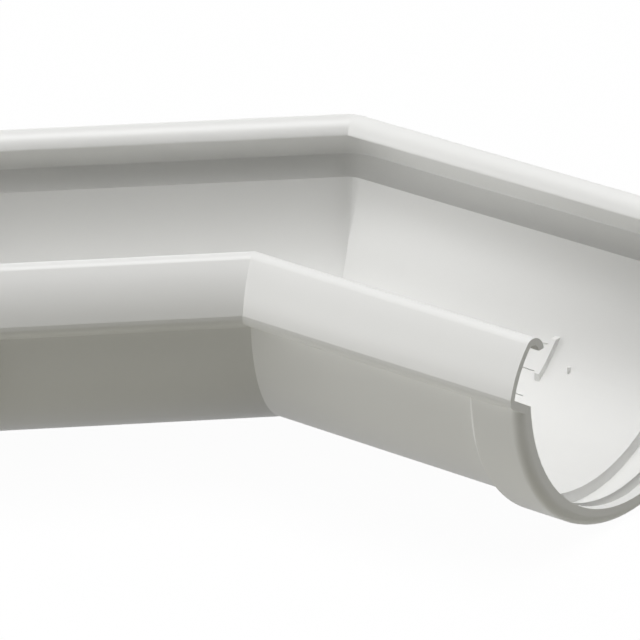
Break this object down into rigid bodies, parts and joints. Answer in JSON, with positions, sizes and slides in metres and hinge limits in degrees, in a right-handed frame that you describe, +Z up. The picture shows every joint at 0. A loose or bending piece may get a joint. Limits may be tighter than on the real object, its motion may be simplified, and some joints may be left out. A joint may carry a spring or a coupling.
{
  "type": "gutter angle",
  "caption": "Moulded angle for half-round gutter, with a mitred 45 degree turn and a socket with seal groove at each end.",
  "frame": {"origin": "centre of the bounding box in plan, at the height of the sockets' lowest point", "axes": "+Z up with the trough open upward; +X along the length over both arms; the mitre lies in the plane x = 0 and its outer corner points to +Y"},
  "size_m": [0.307, 0.191, 0.0839],
  "materials": {
    "white_plastic": "smooth satin moulded plastic"
  },
  "bodies": {
    "root": {"gutter_angle": "white_plastic"}
  },
  "joints": []
}
